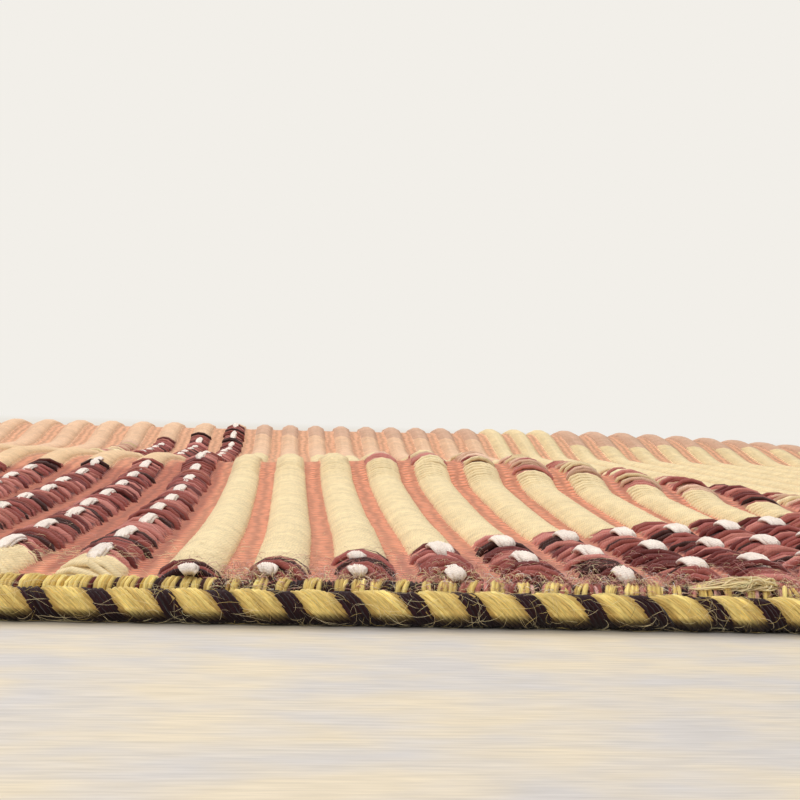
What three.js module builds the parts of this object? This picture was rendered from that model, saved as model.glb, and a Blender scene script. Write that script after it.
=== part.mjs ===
// A cut length of flat-woven wool rug. Raised, wrapped ribs run from selvedge to selvedge,
// each selvedge is rolled and bound with a round cord, and the cloth lies in low swells.
// Millimetres, +Z up. The origin is on the floor, under the middle of the rug.
// X runs along the selvedges, and the front selvedge is on the -Y side.
import * as THREE from "three";

// Driving dimensions
const RUG_LENGTH = 750; // along the selvedge cords
const RUG_WIDTH = 700; // over both selvedge cords
const CORD_DIAMETER = 7;
const CORD_SIDES = 12;
const PIECE_GAP = 0.3; // between a cord and the cloth that it is sewn to
const UNDERSIDE_RIBS = 2; // ribs to each flat strip of the underside
const RIB_TOP_SHARE = 0.56; // flat top of a rib, of its width

// Bands of ribs along the length, from -X to +X: narrow and wide in turn, the first one cut short
const BANDS = [
  { ribs: 4, pitch: 18.75, width: 13 },
  { ribs: 10, pitch: 22.5, width: 15 },
  { ribs: 12, pitch: 18.75, width: 13 },
  { ribs: 10, pitch: 22.5, width: 15 },
];

// Thickness of the cloth in a groove and on a rib, by distance from the nearer long edge.
// The first two rows are the roll behind the cord, and the last one holds as far as the middle.
const EDGE_ROWS = [
  { inset: CORD_DIAMETER + PIECE_GAP, groove: 7.6, rib: 7.6 },
  { inset: 11, groove: 8.7, rib: 8.7 },
  { inset: 16, groove: 6.5, rib: 10.5 },
];

// Swells in the cloth. The crest of each crosses the middle of the rug at a distance from the front
// edge of crest, and slants with X. It is highest at an X of middle, and has faded a lot by as far
// from there as fade. The cloth climbs over the length ahead of it and comes down over that behind.
// No swell starts nearer to the front edge than SWELL_START.
const SWELL_START = 62;
const SWELLS = [
  { height: 2.8, middle: -175, fade: 200, crest: 240, slant: -0.5, ahead: 140, behind: 150 },
  { height: 3.5, middle: -175, fade: 200, crest: 240, slant: -0.5, ahead: 60, behind: 130 },
  { height: 5.8, middle: 40, fade: 100, crest: 240, slant: -0.5, ahead: 140, behind: 150 },
  { height: 7, middle: 40, fade: 100, crest: 240, slant: -0.5, ahead: 34, behind: 110 },
  { height: 13, middle: -100, fade: 500, crest: 607, slant: 0, ahead: 88, behind: 78 },
  { height: 8, middle: 235, fade: 200, crest: 607, slant: 0, ahead: 88, behind: 78 },
];
const RIB_DRIFT = 2.2; // how far the ribs in the middle drift to +X over the first DRIFT_LENGTH
const DRIFT_LENGTH = 110;

// Sections of the cloth between its long edges: how many there are as far as each distance
const SPANS = [
  { until: SWELL_START, sections: 1 },
  { until: 340, sections: 14 },
  { until: 520, sections: 4 },
  { until: RUG_WIDTH - EDGE_ROWS.at(-1).inset, sections: 6 },
];

const material = (color) => new THREE.MeshStandardMaterial({ color, roughness: 0.95, metalness: 0 });

function swellHeight(x, fromFront) {
  let height = 0;
  for (const swell of SWELLS) {
    const crest = swell.crest + swell.slant * x;
    const beyond = fromFront - crest;
    const reach = beyond < 0 ? Math.min(swell.ahead, crest - SWELL_START) : swell.behind;
    if (Math.abs(beyond) < reach) {
      const crestHeight = swell.height * Math.exp(-(((x - swell.middle) / swell.fade) ** 2));
      height += crestHeight * Math.cos((Math.PI * beyond) / (2 * reach)) ** 2;
    }
  }
  return height;
}

function drifted(x, fromFront) {
  const share = THREE.MathUtils.smoothstep(fromFront, 0, DRIFT_LENGTH);
  return x + RIB_DRIFT * share * (1 - ((2 * x) / RUG_LENGTH) ** 2);
}

// The middle and width of each rib
function ribPlaces() {
  const bandsLength = BANDS.reduce((sum, band) => sum + band.ribs * band.pitch, 0);
  const ribs = [];
  let start = -bandsLength / 2;
  for (const band of BANDS) {
    for (let i = 0; i < band.ribs; i++) {
      ribs.push({ x: start + band.pitch / 2, width: band.width, end: start + band.pitch });
      start += band.pitch;
    }
  }
  return ribs;
}

// Points of the upper side, in order along X: onRib says which thickness each one takes
function upperPoints(ribs) {
  const points = [{ x: -RUG_LENGTH / 2, onRib: false }];
  for (const rib of ribs) {
    const top = (rib.width * RIB_TOP_SHARE) / 2;
    points.push({ x: rib.x - rib.width / 2, onRib: false });
    points.push({ x: rib.x - top, onRib: true });
    points.push({ x: rib.x + top, onRib: true });
    points.push({ x: rib.x + rib.width / 2, onRib: false });
  }
  points.push({ x: RUG_LENGTH / 2, onRib: false });
  return points;
}

function underPoints(ribs) {
  const inner = ribs.filter((_, i) => i % UNDERSIDE_RIBS === UNDERSIDE_RIBS - 1);
  return [-RUG_LENGTH / 2, ...inner.slice(0, -1).map((rib) => rib.end), RUG_LENGTH / 2];
}

// Distances of the sections from the front edge, with the thicknesses there
function sectionRows() {
  const last = EDGE_ROWS.at(-1);
  const near = EDGE_ROWS.map((row) => ({ ...row, fromFront: row.inset }));
  const far = EDGE_ROWS.map((row) => ({ ...row, fromFront: RUG_WIDTH - row.inset })).reverse();
  const middle = [];
  let start = last.inset;
  for (const span of SPANS) {
    for (let i = 1; i <= span.sections; i++) {
      const fromFront = THREE.MathUtils.lerp(start, span.until, i / span.sections);
      middle.push({ ...last, fromFront });
    }
    start = span.until;
  }
  return [...near, ...middle, ...far.slice(1)];
}

// Triangles between two chains of points that run the same way along X, from one end to the other
function zip(lower, upper, xOf) {
  const triangles = [];
  let i = 0;
  let j = 0;
  while (i < lower.length - 1 || j < upper.length - 1) {
    const nextLower = i < lower.length - 1 ? xOf(lower[i + 1]) : Infinity;
    const nextUpper = j < upper.length - 1 ? xOf(upper[j + 1]) : Infinity;
    if (nextLower <= nextUpper) {
      triangles.push([lower[i], lower[i + 1], upper[j]]);
      i += 1;
    } else {
      triangles.push([lower[i], upper[j + 1], upper[j]]);
      j += 1;
    }
  }
  return triangles;
}

// The cloth: one closed loft through all sections
function fieldGeometry() {
  const ribs = ribPlaces();
  const upper = upperPoints(ribs);
  const under = underPoints(ribs);
  const rows = sectionRows();
  const ringSize = upper.length + under.length;
  const positions = [];
  for (const row of rows) {
    const y = row.fromFront - RUG_WIDTH / 2;
    for (const point of upper) {
      const thickness = point.onRib ? row.rib : row.groove;
      const x = drifted(point.x, row.fromFront);
      positions.push(x, y, swellHeight(point.x, row.fromFront) + thickness);
    }
    for (const x of [...under].reverse()) {
      positions.push(drifted(x, row.fromFront), y, swellHeight(x, row.fromFront));
    }
  }
  const indices = [];
  for (let r = 0; r < rows.length - 1; r++) {
    for (let k = 0; k < ringSize; k++) {
      const a = r * ringSize + k;
      const b = r * ringSize + ((k + 1) % ringSize);
      indices.push(a, b, b + ringSize, a, b + ringSize, a + ringSize);
    }
  }
  const xOf = (index) => positions[3 * index];
  for (const r of [0, rows.length - 1]) {
    const upperChain = upper.map((_, k) => r * ringSize + k);
    const underChain = under.map((_, k) => (r + 1) * ringSize - 1 - k);
    for (const [a, b, c] of zip(underChain, upperChain, xOf)) {
      indices.push(...(r === 0 ? [a, b, c] : [a, c, b]));
    }
  }
  const geometry = new THREE.BufferGeometry();
  geometry.setAttribute("position", new THREE.Float32BufferAttribute(positions, 3));
  geometry.setIndex(indices);
  geometry.computeVertexNormals();
  return geometry;
}

// A straight cord along X that rests on one of its flats
function cordGeometry() {
  const cornerRadius = CORD_DIAMETER / 2 / Math.cos(Math.PI / CORD_SIDES);
  const section = new THREE.Shape();
  for (let i = 0; i < CORD_SIDES; i++) {
    const angle = ((i + 0.5) / CORD_SIDES) * 2 * Math.PI;
    section[i === 0 ? "moveTo" : "lineTo"](cornerRadius * Math.cos(angle), cornerRadius * Math.sin(angle));
  }
  section.closePath();
  const geometry = new THREE.ExtrudeGeometry(section, { depth: RUG_LENGTH, bevelEnabled: false, steps: 1 });
  geometry.translate(0, 0, -RUG_LENGTH / 2);
  return geometry;
}

function cordMesh(name, y) {
  const cord = new THREE.Mesh(cordGeometry(), material(0xc9a95c));
  cord.name = name;
  cord.rotation.y = Math.PI / 2;
  cord.position.set(0, y, CORD_DIAMETER / 2);
  return cord;
}

const rug = new THREE.Group();

const field = new THREE.Mesh(fieldGeometry(), material(0xb5654e));
field.name = "field";
rug.add(field);

const cordOffset = RUG_WIDTH / 2 - CORD_DIAMETER / 2;
rug.add(cordMesh("selvedge_cord_front", -cordOffset));
rug.add(cordMesh("selvedge_cord_back", cordOffset));

export default rug;
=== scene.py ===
# A cut length of flat-woven wool rug: a woven ground, raised ribs of wrapped stitches, whipped long
# edges and a bound cord along each. Tables and shapes are in millimetres; a mesh is made in metres.
# Distances "from the front" start at the outer side of the front cord and run along +Y.
import math

import bpy
import numpy as np
from mathutils import Matrix, Vector


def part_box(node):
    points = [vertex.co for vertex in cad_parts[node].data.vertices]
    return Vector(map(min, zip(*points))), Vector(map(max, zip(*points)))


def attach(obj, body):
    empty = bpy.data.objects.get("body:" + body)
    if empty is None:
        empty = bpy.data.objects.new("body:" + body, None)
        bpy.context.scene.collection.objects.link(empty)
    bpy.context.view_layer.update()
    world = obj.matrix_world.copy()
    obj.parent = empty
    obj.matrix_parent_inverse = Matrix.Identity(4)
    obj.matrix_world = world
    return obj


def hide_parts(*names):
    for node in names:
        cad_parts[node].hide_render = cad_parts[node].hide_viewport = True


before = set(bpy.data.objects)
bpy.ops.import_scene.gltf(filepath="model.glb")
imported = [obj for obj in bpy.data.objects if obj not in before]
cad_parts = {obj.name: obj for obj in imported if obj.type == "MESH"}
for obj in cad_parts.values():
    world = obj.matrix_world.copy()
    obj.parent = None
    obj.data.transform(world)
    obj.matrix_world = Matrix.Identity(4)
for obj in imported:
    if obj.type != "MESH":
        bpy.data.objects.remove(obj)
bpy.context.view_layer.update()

MM = 0.001
draw = np.random.default_rng(11)

# ---------------------------------------------------------------- sizes of the rug

cord_low, cord_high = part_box("selvedge_cord_front")
RUG_LENGTH = (cord_high.x - cord_low.x) / MM
RUG_WIDTH = -2 * cord_low.y / MM
CORD_RADIUS = (cord_high.z - cord_low.z) / MM / 2
FIELD_INSET = RUG_WIDTH / 2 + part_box("field")[0].y / MM  # where the cloth starts, behind its cord

GROOVE = 6.5  # thickness of the cloth between ribs
RIB_START = 12.0  # ribs run from here to the same distance from the back edge
RIB_ROUND = 7.0  # length over which a rib's end rises
RIB_END_RISE = 0.35  # how far a rib has risen where it starts, as a share of that length

# Bands of ribs along the length, from -X to +X: narrow and wide in turn, the first one cut short.
# A band's pattern is measured away from one of its edges, and may start further into it by a shift.
BANDS = (
    {"ribs": 4, "pitch": 18.75, "width": 13.0, "edge": "right", "shift": 40.0},
    {"ribs": 10, "pitch": 22.5, "width": 15.0, "edge": "right", "shift": 0.0},
    {"ribs": 12, "pitch": 18.75, "width": 13.0, "edge": "left", "shift": 0.0},
    {"ribs": 10, "pitch": 22.5, "width": 15.0, "edge": "left", "shift": 0.0},
)

# Swells of the cloth, as its solid has them. The crest of each slants with X, and is highest at its
# middle. The cloth climbs over the length ahead of it, and comes down over the length behind.
SWELL_START = 62.0  # no swell starts nearer to the front
SWELLS = (
    {"height": 2.8, "middle": -175, "fade": 200, "crest": 240, "slant": -0.5, "ahead": 140, "behind": 150},
    {"height": 3.5, "middle": -175, "fade": 200, "crest": 240, "slant": -0.5, "ahead": 60, "behind": 130},
    {"height": 5.8, "middle": 40, "fade": 100, "crest": 240, "slant": -0.5, "ahead": 140, "behind": 150},
    {"height": 7.0, "middle": 40, "fade": 100, "crest": 240, "slant": -0.5, "ahead": 34, "behind": 110},
    {"height": 13.0, "middle": -100, "fade": 500, "crest": 607, "slant": 0.0, "ahead": 88, "behind": 78},
    {"height": 8.0, "middle": 235, "fade": 200, "crest": 607, "slant": 0.0, "ahead": 88, "behind": 78},
)
RIB_DRIFT = 2.2  # how far the ribs in the middle drift to +X over the first DRIFT_LENGTH
DRIFT_LENGTH = 110.0


def smooth_step(t):
    t = np.clip(t, 0, 1)
    return t * t * (3 - 2 * t)


def swell(x, front):
    """Height of the underside over the floor."""
    total = np.zeros(np.broadcast(x, front).shape)
    for s in SWELLS:
        crest = s["crest"] + s["slant"] * x
        beyond = front - crest
        reach = np.where(beyond < 0, np.minimum(s["ahead"], crest - SWELL_START), s["behind"])
        turn = np.clip(np.abs(beyond) / np.maximum(reach, 0.001), 0, 1)
        crest_height = s["height"] * np.exp(-(((x - s["middle"]) / s["fade"]) ** 2))
        total += crest_height * np.cos(turn * math.pi / 2) ** 2
    return total


def placed(x, front, height):
    """Points in metres, from X, distance from the front and height over the underside."""
    x, front, height = np.broadcast_arrays(x, front, height)
    drift = RIB_DRIFT * smooth_step(front / DRIFT_LENGTH) * (1 - (2 * x / RUG_LENGTH) ** 2)
    return np.stack([x + drift, front - RUG_WIDTH / 2, swell(x, front) + height], axis=-1) * MM


def within_ends(x, margin=0.3):
    """X, kept inside the cut length by a margin."""
    return np.clip(x, -RUG_LENGTH / 2 + margin, RUG_LENGTH / 2 - margin)


def rib_rise(front):
    """How far a rib has risen, from 0 at its two ends to 1."""
    inset = np.minimum(front, RUG_WIDTH - front)
    return smooth_step((inset - RIB_START) / RIB_ROUND + RIB_END_RISE)


def rib_list():
    """Each rib with its band, middle X, width, and how far away from the band's edge it is."""
    ribs = []
    start = -RUG_LENGTH / 2
    for index, band in enumerate(BANDS):
        length = band["ribs"] * band["pitch"]
        for i in range(band["ribs"]):
            along = (i + 0.5) * band["pitch"]
            away = (length - along if band["edge"] == "right" else along) + band["shift"]
            ribs.append({"band": index, "x": start + along, "away": away, "width": band["width"]})
        start += length
    return ribs


RIBS = rib_list()

# ---------------------------------------------------------------- colours of the yarns


def linear(code):
    """A written colour such as d9bc6a, as linear light."""
    values = np.array([int(code[i : i + 2], 16) / 255 for i in (0, 2, 4)])
    return np.where(values <= 0.04045, values / 12.92, ((values + 0.055) / 1.055) ** 2.4)


YARNS = {
    "cream": linear("efd9ac"),
    "buff": linear("ecc9a0"),
    "pale": linear("f6e2ad"),
    "straw": linear("e6ca7c"),
    "ochre": linear("c39c48"),
    "peach": linear("ebc4a2"),
    "tan": linear("d8b095"),
    "salmon": linear("d88f70"),
    "brick": linear("b06450"),
    "pink": linear("dba79c"),
    "rose": linear("c07a6e"),
    "maroon": linear("98524a"),
    "wine": linear("6c3330"),
    "umber": linear("40221e"),
    "plum": linear("2e161a"),
    "white": linear("f6e8dc"),
}
# Shares of the yarns in stitches of more than one colour
DARK_STITCHES = {"maroon": 0.42, "wine": 0.2, "umber": 0.09, "rose": 0.29}
KNOT_STITCHES = {"maroon": 0.38, "wine": 0.34, "umber": 0.28}
MIXED_STITCHES = {"maroon": 0.12, "tan": 0.42, "cream": 0.24, "rose": 0.22}
PLAIN_ZONES = ("cream", "buff", "peach", "tan")  # other zones are dark or mixed
WARMTH = np.array([1.0, 1.3, 1.6])  # red falls least as a colour darkens
LIGHT_RANGE = (0.01, 1.3)

# Zones of colour. An end has its distance from the front at the edge of the band, and what that
# grows by for each millimetre away from the edge.
LEFT_CREAM_END = (21.7, 0.52)
LEFT_DARK_END = (270.0, 0.17)
EDGE_RIB_END = (610.0, -1.0)
EDGE_RIB = 25.0  # ribs up to this far from the edge are dark up to the EDGE_RIB_END
FAR_DARK_START = 400.0
FAR_DARK_END = (595.0, -0.7)
FAR_DARK_REACH = 60.0
FAR_MIXED_REACH = 95.0
RIGHT_DARK_END = (145.0, -0.6)
RIGHT_CREAM_END = (560.0, 0.1)
NARROW_DARK_ENDS = ((4.0, 0.8), (38.0, 0.49))  # whichever is nearer
NARROW_DARK_LEAST = 17.0
STRIPE_START = (272.0, -0.567)
STRIPE_DEPTH = (-45.0, 0.9)
STRIPE_DEEPEST = 40.0
STRIPE_FROM = 55.0  # the stripe crosses ribs that are further than this from the edge
STRIPE_DARK = (188.0, 206.0)
BUFF_END = 470.0
CREAM_REACH = 165.0  # ribs further than this from the edge are cream all the way
PEACH_END = 572.0


def end_at(end, away):
    """Distance from the front of an end, at a distance from the band's edge."""
    return end[0] + end[1] * away


def dark_end(away):
    """Where the dark triangle of a narrow band ends."""
    return max(NARROW_DARK_LEAST, min(end_at(end, away) for end in NARROW_DARK_ENDS))


def zone(rib, front):
    """Which yarns a rib is wrapped in at a distance from the front."""
    pattern = {0: narrow_zone, 1: wide_left_zone, 2: narrow_zone, 3: wide_right_zone}
    return pattern[rib["band"]](rib["away"], front)


def wide_left_zone(away, front):
    if front < end_at(LEFT_CREAM_END, away):
        return "cream"
    if front < end_at(LEFT_DARK_END, away) or front < end_at(EDGE_RIB_END, away) and away < EDGE_RIB:
        return "dark"
    if FAR_DARK_START < front < end_at(FAR_DARK_END, away) and away < FAR_MIXED_REACH:
        return "dark" if away < FAR_DARK_REACH else "mixed"
    return "buff" if front < BUFF_END else "peach"


def wide_right_zone(away, front):
    if front < end_at(RIGHT_DARK_END, away):
        return "dark"
    return "cream" if front < end_at(RIGHT_CREAM_END, away) else "tan"


def narrow_zone(away, front):
    if front < dark_end(away):
        return "dark"
    start = end_at(STRIPE_START, away)
    if away > STRIPE_FROM and start < front < start + min(STRIPE_DEEPEST, end_at(STRIPE_DEPTH, away)):
        return "dark" if STRIPE_DARK[0] < away < STRIPE_DARK[1] else "mixed"
    if front < BUFF_END or away > CREAM_REACH:
        return "cream"
    return "peach" if front < PEACH_END else "tan"


# ---------------------------------------------------------------- strands


def unit(vectors):
    return vectors / np.maximum(np.linalg.norm(vectors, axis=-1, keepdims=True), 1e-12)


def strand_faces(steps, sides, size):
    """Quads and cap triangles of one strand, whose points are its start, its rings and its end."""
    side = np.arange(sides)
    following = (side + 1) % sides
    ring = 1 + np.arange(steps - 3)[:, None] * sides
    quads = np.stack([ring + side, ring + following, ring + sides + following, ring + sides + side], -1)
    last = 1 + (steps - 3) * sides
    start_cap = np.stack([np.zeros(sides, int), 1 + following, 1 + side], -1)
    end_cap = np.stack([np.full(sides, size - 1), last + side, last + following], -1)
    return quads.reshape(-1, 4), np.concatenate([start_cap, end_cap])


def corner_places(steps, sides):
    """The step along a strand and the share of a turn around it, for each corner of its faces."""
    here = np.arange(sides) / sides
    middle = here + 0.5 / sides
    there = here + 1 / sides
    step = np.arange(steps - 3).repeat(sides)
    quad_steps = np.stack([step + 1, step + 1, step + 2, step + 2], -1)
    quad_turns = np.tile(np.stack([here, there, there, here], -1), (steps - 3, 1))
    cap_steps = np.repeat([[0, 1, 1], [steps - 1, steps - 2, steps - 2]], sides, axis=0)
    cap_turns = np.concatenate([np.stack([middle, there, here], -1), np.stack([middle, here, there], -1)])
    return (quad_steps, quad_turns), (cap_steps, cap_turns)


def strand_rings(paths, radii, sides, reference, ratio):
    """Closed, tapered strands along paths of n strands by k points.

    A strand's radius along the reference is its radius across it times the ratio.
    """
    count, steps, _ = paths.shape
    along = unit(np.gradient(paths, axis=1))
    across = unit(np.cross(along, np.broadcast_to(reference, paths.shape)))
    outward = np.cross(across, along)
    inner = slice(1, steps - 1)
    turn = np.arange(sides) * 2 * math.pi / sides
    radius = radii[:, None, None, None]
    rings = paths[:, inner, None, :] + radius * (
        np.cos(turn)[:, None] * outward[:, inner, None, :] * ratio
        + np.sin(turn)[:, None] * across[:, inner, None, :]
    )
    size = 2 + (steps - 2) * sides
    points = np.empty((count, size, 3))
    points[:, 0] = paths[:, 0]
    points[:, 1:-1] = rings.reshape(count, -1, 3)
    points[:, -1] = paths[:, -1]

    quads, triangles = strand_faces(steps, sides, size)
    first_points = np.arange(count)[:, None, None] * size
    run = np.cumsum(np.linalg.norm(np.diff(paths, axis=1), axis=-1), axis=1)
    run = np.concatenate([np.zeros((count, 1)), run], axis=1) / MM
    first_turns = draw.uniform(0, 1, count)[:, None, None]
    uv = [np.stack([run[:, at], turns + first_turns], -1) for at, turns in corner_places(steps, sides)]
    return {
        "points": points.reshape(-1, 3),
        "quads": (quads[None] + first_points).reshape(-1, 4),
        "triangles": (triangles[None] + first_points).reshape(-1, 3),
        "uv_quads": uv[0].reshape(-1, 2),
        "uv_triangles": uv[1].reshape(-1, 2),
    }


def mesh_piece(name, parts):
    """One object from parts, each with points, colours, quads, triangles and their UV places."""
    starts = np.cumsum([0] + [len(p["points"]) for p in parts])
    points = np.concatenate([p["points"] for p in parts])
    colours = np.concatenate([p["colours"] for p in parts])
    quads = np.concatenate([p["quads"] + s for p, s in zip(parts, starts)])
    triangles = np.concatenate([p["triangles"] + s for p, s in zip(parts, starts)])
    uv = np.concatenate([p["uv_quads"] for p in parts] + [p["uv_triangles"] for p in parts])
    mesh = bpy.data.meshes.new(name)
    mesh.vertices.add(len(points))
    mesh.vertices.foreach_set("co", points.astype(np.float32).ravel())
    corners = np.concatenate([quads.ravel(), triangles.ravel()]).astype(np.int32)
    mesh.loops.add(len(corners))
    mesh.loops.foreach_set("vertex_index", corners)
    sizes = np.concatenate([np.full(len(quads), 4), np.full(len(triangles), 3)]).astype(np.int32)
    mesh.polygons.add(len(sizes))
    mesh.polygons.foreach_set("loop_start", np.concatenate([[0], np.cumsum(sizes)[:-1]]).astype(np.int32))
    mesh.update(calc_edges=True)
    mesh.polygons.foreach_set("use_smooth", np.ones(len(sizes), bool))
    layer = mesh.uv_layers.new(name="strand")
    layer.data.foreach_set("uv", uv.astype(np.float32).ravel())
    tint = mesh.color_attributes.new("yarn", "FLOAT_COLOR", "POINT")
    rgba = np.concatenate([colours, np.ones((len(colours), 1))], axis=1)
    tint.data.foreach_set("color", rgba.astype(np.float32).ravel())
    mesh.validate()
    piece = bpy.data.objects.new(name, mesh)
    bpy.context.scene.collection.objects.link(piece)
    return piece


def strands(paths, radii, colours, sides=4, reference=(0, 0, 1), ratio=1.0):
    """A part for mesh_piece. A colour is given for each strand, or for each of its points."""
    part = strand_rings(paths, radii * MM, sides, np.asarray(reference, float), ratio)
    if colours.ndim == 2:
        colours = np.repeat(colours[:, None], paths.shape[1], axis=1)
    rings = np.repeat(colours[:, 1:-1], sides, axis=1)
    part["colours"] = np.concatenate([colours[:, :1], rings, colours[:, -1:]], axis=1).reshape(-1, 3)
    return part


def deepened(colour, light):
    """A colour made lighter or darker: what is darker is warmer too, as wool between wool is."""
    return np.clip(colour * np.clip(light, *LIGHT_RANGE) ** WARMTH, 0, 1)


def shades(names, spread=0.08):
    """A colour for each yarn name, each a little lighter or darker."""
    base = np.array([YARNS[n] for n in names])
    return deepened(base, draw.normal(1, spread, (len(base), 1)))


# ---------------------------------------------------------------- materials


def node(tree, kind, at, inputs=None, **settings):
    """A shader node with its settings, and the values of its inputs by name or number."""
    made = tree.nodes.new(kind)
    made.location = at
    for key, value in settings.items():
        setattr(made, key, value)
    for key, value in (inputs or {}).items():
        made.inputs[key].default_value = value
    return made


def new_material(name, shader_inputs):
    """A material with the values of its shader's inputs, and its node tree and shader."""
    material = bpy.data.materials.new(name)
    material.use_nodes = True
    shader = material.node_tree.nodes["Principled BSDF"]
    for key, value in shader_inputs.items():
        shader.inputs[key].default_value = value
    return material, material.node_tree, shader


def drawn_out_noise(tree, place, at, scale, detail, turn=0.0):
    """Noise with a scale along each axis, which may be turned about Z."""
    drawn_out = {"Scale": scale, "Rotation": (0, 0, turn)}
    mapping = node(tree, "ShaderNodeMapping", at, drawn_out)
    noise = node(tree, "ShaderNodeTexNoise", (at[0] + 200, at[1]), {"Scale": 1.0, "Detail": detail})
    tree.links.new(place, mapping.inputs["Vector"])
    tree.links.new(mapping.outputs["Vector"], noise.inputs["Vector"])
    return noise.outputs["Fac"]


def dye_and_emboss(tree, shader, light, relief, strength, depth):
    """Give a shader the yarns' colours times a light, and the bumps of a relief."""
    yarn = node(tree, "ShaderNodeVertexColor", (-450, 300), layer_name="yarn")
    tinted = node(tree, "ShaderNodeVectorMath", (-250, 200), operation="SCALE")
    bumps = node(tree, "ShaderNodeBump", (-250, -250), {"Strength": strength, "Distance": depth})
    link = tree.links.new
    link(yarn.outputs["Color"], tinted.inputs[0])
    link(light, tinted.inputs["Scale"])
    link(tinted.outputs["Vector"], shader.inputs["Base Color"])
    link(relief, bumps.inputs["Height"])
    link(bumps.outputs["Normal"], shader.inputs["Normal"])


def wool(name, stretch, ply, streak, bump, sheen):
    """Spun wool: fibres run along a strand, with a darker line where its plies meet."""
    finish = {"Roughness": 0.92, "Specular IOR Level": 0.15, "Sheen Weight": sheen, "Sheen Roughness": 0.5}
    material, tree, shader = new_material(name, finish)
    places = node(tree, "ShaderNodeUVMap", (-1500, 0), uv_map="strand").outputs["UV"]
    fibres = drawn_out_noise(tree, places, (-1300, 150), (stretch, 9.0, 1.0), detail=3.0, turn=0.12)
    plies_at = node(tree, "ShaderNodeMapping", (-1300, -200), {"Rotation": (0, 0, 0.5)})
    twist = {"Scale": 0.9, "Distortion": 1.5, "Detail": 1.0}
    plies = node(tree, "ShaderNodeTexWave", (-1100, -200), twist, wave_profile="SIN", bands_direction="Y")
    where = node(tree, "ShaderNodeTexCoord", (-1500, -500))
    patches = node(tree, "ShaderNodeTexNoise", (-1100, -500), {"Scale": 180.0, "Detail": 2.0})
    scaled = node(tree, "ShaderNodeMath", (-980, -200), {1: ply}, operation="MULTIPLY")
    relief = node(tree, "ShaderNodeMath", (-850, 0), operation="ADD")
    streaks = {"From Min": 0.3, "From Max": 0.7 + ply, "To Min": 1.0 - streak, "To Max": 1.0 + streak}
    light = node(tree, "ShaderNodeMapRange", (-650, 0), streaks)
    patch_light = node(tree, "ShaderNodeMapRange", (-650, -400), {"To Min": 0.82, "To Max": 1.18})
    both = node(tree, "ShaderNodeMath", (-450, -150), operation="MULTIPLY")
    link = tree.links.new
    link(places, plies_at.inputs["Vector"])
    link(plies_at.outputs["Vector"], plies.inputs["Vector"])
    link(where.outputs["Object"], patches.inputs["Vector"])
    link(plies.outputs["Fac"], scaled.inputs[0])
    link(fibres, relief.inputs[0])
    link(scaled.outputs[0], relief.inputs[1])
    link(relief.outputs[0], light.inputs["Value"])
    link(patches.outputs["Fac"], patch_light.inputs["Value"])
    link(light.outputs["Result"], both.inputs[0])
    link(patch_light.outputs["Result"], both.inputs[1])
    dye_and_emboss(tree, shader, both.outputs[0], relief.outputs[0], strength=bump, depth=0.0003)
    return material


def ground_weave():
    """The woven ground: weft rows over warps, in mottled wool."""
    finish = {"Roughness": 0.95, "Specular IOR Level": 0.1, "Sheen Weight": 0.15, "Sheen Roughness": 0.5}
    material, tree, shader = new_material("ground weave", finish)
    where = node(tree, "ShaderNodeTexCoord", (-1500, 0))
    weft = {"Scale": 110.0, "Distortion": 3.0, "Detail": 2.0, "Detail Scale": 2.5}
    rows = node(tree, "ShaderNodeTexWave", (-1100, 200), weft, wave_profile="SIN", bands_direction="Y")
    warp = {"Scale": 75.0, "Distortion": 4.0, "Detail": 2.0}
    warps = node(tree, "ShaderNodeTexWave", (-1100, -100), warp, wave_profile="SIN", bands_direction="X")
    mottle = node(tree, "ShaderNodeTexNoise", (-1100, -400), {"Scale": 420.0, "Detail": 5.0})
    cells = node(tree, "ShaderNodeMath", (-850, 100), operation="MULTIPLY")
    height = node(tree, "ShaderNodeMath", (-650, 0), operation="ADD")
    shading = {"From Min": 0.35, "From Max": 1.2, "To Min": 0.68, "To Max": 1.3}
    light = node(tree, "ShaderNodeMapRange", (-450, 0), shading)
    link = tree.links.new
    for texture in (rows, warps, mottle):
        link(where.outputs["Object"], texture.inputs["Vector"])
    link(rows.outputs["Fac"], cells.inputs[0])
    link(warps.outputs["Fac"], cells.inputs[1])
    link(cells.outputs[0], height.inputs[0])
    link(mottle.outputs["Fac"], height.inputs[1])
    link(height.outputs[0], light.inputs["Value"])
    dye_and_emboss(tree, shader, light.outputs["Result"], height.outputs[0], strength=0.9, depth=0.0006)
    return material


STITCH_WOOL = wool("stitch wool", stretch=0.9, ply=0.3, streak=0.15, bump=0.5, sheen=0.12)
CORD_WOOL = wool("cord wool", stretch=0.3, ply=0.0, streak=0.32, bump=0.6, sheen=0.12)
FUZZ_WOOL = wool("fuzz wool", stretch=0.5, ply=0.0, streak=0.05, bump=0.0, sheen=0.2)
GROUND_WEAVE = ground_weave()


def finish_piece(piece, material, slot, *nodes):
    piece.data.materials.append(material)
    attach(piece, "root")
    if nodes:
        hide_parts(*nodes)


# ---------------------------------------------------------------- woven ground

CORE_TOP = 8.9  # top of the ground inside a rib, under its stitches
ROLL_CREST = 11.0  # middle of the rolled edge, from the front
ROLL_TOP = 6.8
ROLL_REACH = 4.6
EDGE_FOOT = 2.0  # thickness of the ground right behind the cord
EDGE_RISE = 4.5  # length over which it thickens
EDGE_AHEAD = 1.0  # how far ahead of the cloth's edge that length starts
EDGE_ROWS = np.array([FIELD_INSET, 8.5, 10, 11.5, 13, 14.5, 16, 18, 20])
GROUND_STEP = 9.0
ACROSS_RIB = (-0.98, -0.84, -0.4, 0.4, 0.84, 0.98)  # 1 is the side of the rib
GROOVE_GAP = 0.06  # from the middle of a groove to the first point after it
HEM_POINTS = 5  # around the hem at each end
UNDER_POINTS = 39

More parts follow.
